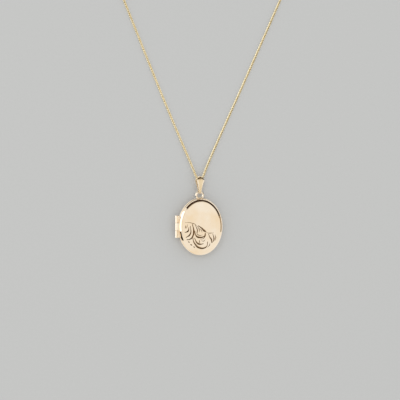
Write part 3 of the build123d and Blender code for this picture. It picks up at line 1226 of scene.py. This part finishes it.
# ------------------------------------------------------------------ clasp
@dataclass(frozen=True)
class Clasp:
    """The spring ring clasp: its gold parts come from the frame, its spring is wound here."""

    chain_nodes: tuple[str, ...] = ("clasp_ring", "clasp_eye", "clasp_jump_ring", "chain_end_ring")
    bolt_node: str = "clasp_bolt"
    centre: tuple[float, float, float] = (0.87 * MM, 105.0 * MM, 0.9 * MM)
    ring_radius: float = 2.1 * MM
    coil_radius: float = 0.27 * MM
    wire: float = 0.06 * MM
    begins: float = math.radians(61.0)
    ends: float = math.radians(165.0)
    turns: int = 20
    steps_per_turn: int = 14
    wire_points: int = 7

    def spring_point(self, share: float) -> tuple[Vector, Vector]:
        """A point of the spring's wire, and the way out of the coil there.

        Args:
            share: how far along the spring, from 0 to 1.

        Returns:
            The wire's middle and the outward direction.
        """
        round_ring = self.begins + (self.ends - self.begins) * share
        round_coil = FULL_TURN * self.turns * share
        away = Vector((math.cos(round_ring), math.sin(round_ring), 0.0))
        out = away * math.cos(round_coil) + Vector((0.0, 0.0, math.sin(round_coil)))
        return Vector(self.centre) + away * self.ring_radius + out * self.coil_radius, out

    def wire_ring(self, share: float) -> Place:
        """The wire's section at a point along the spring."""
        middle, out = self.spring_point(share)
        step = 0.1 / (self.turns * self.steps_per_turn)
        along = (self.spring_point(share + step)[0] - self.spring_point(share - step)[0]).normalized()
        side = along.cross(out).normalized()
        return lambda turn: middle + self.wire * (out * math.cos(turn) + side * math.sin(turn))

    def spring(self) -> bpy.types.Object:
        """The hard drawn coil that pushes the bolt shut, inside the clasp's tube."""
        count = self.turns * self.steps_per_turn
        rings = [self.wire_ring(i / count) for i in range(count + 1)]
        bm = tube(self.wire_points, rings, closed_section=False, cap_ends=True)
        return settle(bm, "clasp_coil_spring", Body.CHAIN, Slot.SPRING, ("clasp_spring",), 60.0)

    def build(self) -> None:
        """Winds the spring and gives the gold parts their finish."""
        self.spring()
        for name in (*self.chain_nodes, self.bolt_node):
            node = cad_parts[name]
            node.data.materials.clear()
            node.data.materials.append(finish_of(Slot.CHAIN))


# ------------------------------------------------------------------ camera and light
@dataclass(frozen=True)
class Studio:
    """The camera, soft lights and pale floor."""

    lean: float = math.radians(16.0)
    distance: float = 0.6
    field: float = 155.2 * MM
    aim: tuple[float, float, float] = (0.57 * MM, 10.28 * MM, 0.0)
    sensor: float = 36.0
    clip: tuple[float, float] = (0.01, 20.0)
    floor_half: float = 3.0
    floor_grain_mm: float = 0.8
    card_distance: float = 1.0

    def camera(self) -> None:
        """Puts a long lens above the locket, leaning to the hinge side."""
        data = bpy.data.cameras.new("camera")
        data.sensor_width = self.sensor
        data.lens = self.sensor * self.distance / self.field
        data.clip_start, data.clip_end = self.clip
        camera = shown("camera", data)
        back = Vector((-math.sin(self.lean), 0.0, math.cos(self.lean)))
        camera.location = Vector(self.aim) + back * self.distance
        camera.rotation_euler = (0.0, -self.lean, 0.0)
        bpy.context.scene.camera = camera

    def softbox(
        self, name: str, place: Sequence[float], size: Sequence[float], glow: float, tint: str
    ) -> None:
        """Adds an area light that faces the locket and isn't seen in its metal.

        Args:
            name: the light's name.
            place: its middle.
            size: its width and height.
            glow: how bright its surface looks.
            tint: its colour.
        """
        data = bpy.data.lights.new(name, "AREA")
        data.shape = "RECTANGLE"
        data.size, data.size_y = size
        data.energy = glow * math.pi * size[0] * size[1]
        data.color = linear(tint)[:3]
        light = shown(name, data)
        light.location = place
        light.rotation_mode = "QUATERNION"
        light.rotation_quaternion = Vector(place).to_track_quat("Z", "Y")
        light.visible_camera = False
        light.visible_glossy = False

    def flat(self, name: str, half: float, place: Matrix, material: bpy.types.Material) -> bpy.types.Object:
        """Makes a square stage piece.

        Args:
            name: its name.
            half: half its side, before it is placed.
            place: where it goes, and how it is stretched.
            material: what it is made of.

        Returns:
            The stage piece.
        """
        bm = bmesh.new()
        bmesh.ops.create_grid(bm, x_segments=1, y_segments=1, size=half)
        bmesh.ops.transform(bm, matrix=place, verts=bm.verts)
        mesh = bpy.data.meshes.new(name)
        bm.to_mesh(mesh)
        bm.free()
        mesh.materials.append(material)
        piece = shown(name, mesh)
        return piece

    def card(
        self, name: str, azimuth: float, width: float, low: float, high: float, tint: str, glow: float = 1.0
    ) -> None:
        """Stands an evenly toned card beside the set, seen only in the metal.

        Args:
            name: the card's name.
            azimuth: its direction from the locket, in degrees from +X.
            width: its width.
            low: the height of its lower edge.
            high: the height of its upper edge.
            tint: its colour.
            glow: how bright it is.
        """
        away = Matrix.Translation((self.card_distance, 0, (low + high) / 2))
        stand = Matrix.Rotation(math.radians(azimuth), 4, "Z") @ away
        shape = Matrix.Rotation(math.pi / 2, 4, "Y") @ Matrix.Diagonal((high - low, width, 1, 1))
        light = {"Color": linear(tint), "Strength": glow}
        material = surfaced(f"{name}_card", "ShaderNodeEmission", lambda tree: light)
        card = self.flat(name, 0.5, stand @ shape, material)
        card.visible_camera = False
        card.visible_diffuse = False
        card.visible_shadow = False

    def floor(self) -> None:
        """Lays the pale matt floor; the metal mirrors the light tent in its place."""

        def inputs(tree: bpy.types.NodeTree) -> dict:
            grain = noise(tree, (self.floor_grain_mm,) * 3, 4.0)
            return {"Color": blend(tree, grain, linear("BEC0C2"), linear("C3C5C7"))}

        material = surfaced("pale_floor_card", "ShaderNodeBsdfDiffuse", inputs)
        floor = self.flat("floor", self.floor_half, Matrix.Identity(4), material)
        floor.visible_glossy = False

    def world(self) -> None:
        """Surrounds the set with a bright, even tent, which most of the metal mirrors."""
        world = bpy.data.worlds.new("light_tent")
        world.use_nodes = True
        tree = world.node_tree
        tree.nodes.clear()
        glow = add_node(tree, "ShaderNodeBackground", {}, {"Color": linear("FFFDF8"), "Strength": 0.97})
        add_node(tree, "ShaderNodeOutputWorld", {}, {"Surface": glow.outputs["Background"]})
        bpy.context.scene.world = world

    def light(self) -> None:
        """Sets the floor, the softbox and the cards that shape the metal's edge."""
        bpy.context.scene.view_settings.view_transform = "Standard"
        self.world()
        self.floor()
        self.softbox("head_key", (-0.7, 0.6, 1.3), (0.6, 0.6), 2.5, "FFFFFF")
        self.card("white_hinge_side", 167.0, 0.9, -3.0, 0.62, "FFFFFF", 1.8)
        self.card("warm_hinge_side", 172.0, 1.3, 0.67, 2.0, "F0E9E4")
        self.card("dark_head", 95.0, 1.5, -0.2, 1.5, "45362A")
        self.card("warm_head", 80.0, 1.5, 1.55, 2.7, "DDD5C6")
        self.card("dark_side", 39.0, 1.1, -0.3, 1.2, "45362A")
        self.card("dark_side_low", 3.0, 0.4, -0.1, 0.8, "9C8870")
        self.card("dark_foot", 203.0, 0.4, -3.0, 0.3, "20180F")


# ------------------------------------------------------------------ chain
@dataclass
class NecklaceChain:
    """The fine curb chain: two straight runs, then both ends wound in one flat coil."""

    diameter: float = 0.9 * MM
    length: float = 457.0 * MM
    low: float = 0.27 * MM
    coil_centre: tuple[float, float] = (0.0, 105.0 * MM)
    coil_outer: float = 9.27 * MM
    coil_inner: float = 4.9 * MM
    coil_turns: float = 2.25
    head_tuck: float = 0.35 * MM
    tuck_turns: float = 0.3
    points_per_turn: int = 14
    pitch: float = 0.74 * MM
    link_half: float = 0.54 * MM
    link_side: float = 0.28 * MM
    link_twist: float = 0.13 * MM
    wire: float = 0.17 * MM
    wire_points: int = 5
    link_points: int = 12
    sharp_degrees: float = 60.0

    def strand(self, head: bool) -> list[Vector]:
        """One strand's turns in the coil, from outside inwards, as control points.

        Args:
            head: whether it is the strand that comes in at the coil's head.

        Returns:
            The points.
        """
        count = round(self.coil_turns * self.points_per_turn)
        begin = math.pi / 2 if head else -math.pi / 2
        tuck = self.head_tuck if head else 0.0
        tuck_begins = 1 - self.tuck_turns / self.coil_turns
        points = []
        for i in range(1, count + 1):
            share = i / count
            angle = begin + share * self.coil_turns * FULL_TURN
            radius = self.coil_outer + (self.coil_inner - self.coil_outer) * share
            radius -= tuck * max(0.0, (share - tuck_begins) / (1 - tuck_begins)) ** 2
            x = self.coil_centre[0] + radius * math.cos(angle)
            y = self.coil_centre[1] + radius * math.sin(angle)
            points.append(Vector((x, y, self.low)))
        return points

    def route(self) -> list[Vector]:
        """The whole chain's control points, from the clasp's jump ring to the end ring."""
        low = self.low / MM
        run = [
            (-0.6, 114.3, low), (6.0, 114.4, low), (15.0, 115.6, low), (29.0, 114.6, low),
            (37.5, 107.0, low), (36.6, 96.0, low), (32.0, 86.0, low), (17.2, 53.5, low),
            (8.2, 34.3, low), (3.2, 23.6, 0.8), (0.95, 17.95, 1.5),
            (-0.95, 17.95, 1.5), (-2.9, 23.5, 0.8), (-7.65, 34.3, low),
            (-16.0, 53.5, low), (-29.8, 86.8, low), (-33.6, 95.9, low), (-28.0, 104.2, low),
            (-16.0, 104.5, low), (-7.5, 95.6, low), (0.6, 95.7, low),
        ]
        middle = [Vector(point) * MM for point in run]
        return self.strand(True)[::-1] + middle + self.strand(False)

    def centreline(self) -> list[Vector]:
        """Points read from the route's smooth spline."""
        curve = bpy.data.curves.new("chain_route", "CURVE")
        curve.dimensions = "3D"
        curve.resolution_u = 24
        spline = curve.splines.new("NURBS")
        route = self.route()
        spline.points.add(len(route) - 1)
        for point, place in zip(spline.points, route):
            point.co = (*place, 1.0)
        spline.order_u = 3
        spline.use_endpoint_u = True
        holder = shown("chain_route", curve)
        bpy.context.view_layer.update()
        mesh = bpy.data.meshes.new_from_object(holder)
        points = [v.co.copy() for v in mesh.vertices]
        bpy.data.objects.remove(holder)
        bpy.data.curves.remove(curve)
        bpy.data.meshes.remove(mesh)
        return points

    def link(self) -> bmesh.types.BMesh:
        """One curb link: an oval of wire, twisted so that it lies through its neighbours."""
        rings: list[Place] = []
        for i in range(self.link_points):
            t = FULL_TURN * i / self.link_points
            x, y = self.link_half * math.cos(t), self.link_side * math.sin(t)
            middle = Vector((x, y, self.link_twist * math.sin(2 * t)))
            out = Vector((self.link_side * math.cos(t), self.link_half * math.sin(t), 0)).normalized()
            rings.append(self.wire_ring(middle, out))
        return tube(self.wire_points, rings)

    def wire_ring(self, middle: Vector, out: Vector) -> Place:
        """The wire's section at a point of a link.

        Args:
            middle: the point.
            out: the link's outward direction there.

        Returns:
            The ring.
        """
        return lambda turn: middle + self.wire * (out * math.cos(turn) + Vector((0, 0, math.sin(turn))))

    def build(self, with_pieces: Sequence[bpy.types.Object], exit_point: Vector) -> None:
        """Args:
            with_pieces: the clasp's pieces on the chain's ends; not used.
            exit_point: where the chain leaves the clasp's jump ring.
        """
        line = self.centreline()
        lengths = np.cumsum([0.0] + [(b - a).length for a, b in zip(line, line[1:])])
        count = int(lengths[-1] / self.pitch)
        pitch = lengths[-1] / count
        pattern = self.link()
        mesh = bpy.data.meshes.new("link")
        pattern.to_mesh(mesh)
        pattern.free()
        bm = bmesh.new()
        row = np.array(line)

        def place(at: float) -> Vector:
            return Vector([np.interp(at, lengths, row[:, k]) for k in range(3)])

        for i in range(count):
            at = pitch * (i + 0.5)
            middle = place(at)
            along = (place(at + pitch / 2) - place(at - pitch / 2)).normalized()
            side = Vector((0, 0, 1)).cross(along).normalized()
            up = along.cross(side)
            turn = Matrix((along, side, up)).transposed().to_4x4()
            first = len(bm.verts)
            bm.from_mesh(mesh)
            bm.verts.ensure_lookup_table()
            bmesh.ops.transform(bm, matrix=Matrix.Translation(middle) @ turn, verts=bm.verts[first:])
        bpy.data.meshes.remove(mesh)
        nodes = ("chain_run", "chain_coil")
        chain = settle(bm, "necklace_chain", Body.CHAIN, Slot.CHAIN, nodes, self.sharp_degrees)
        LOG.info("chain: %d links, centreline %.1f mm", count, lengths[-1] / MM)
        tuple(exit_point)
        [tuple(p) for p in line]


def main() -> None:
    """Builds the locket, piece by piece."""
    logging.basicConfig(level=logging.INFO, format="%(message)s")
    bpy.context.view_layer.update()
    studio = Studio()
    studio.camera()
    clasp = Clasp()
    chain = NecklaceChain()
    chain.build([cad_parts[name] for name in clasp.chain_nodes], chain.route()[0])
    CoverLeaf().build()
    CaseLeaf().build()
    Hinge().build()
    Suspension().build()
    clasp.build()
    studio.light()


if __name__ == "__main__":
    main()
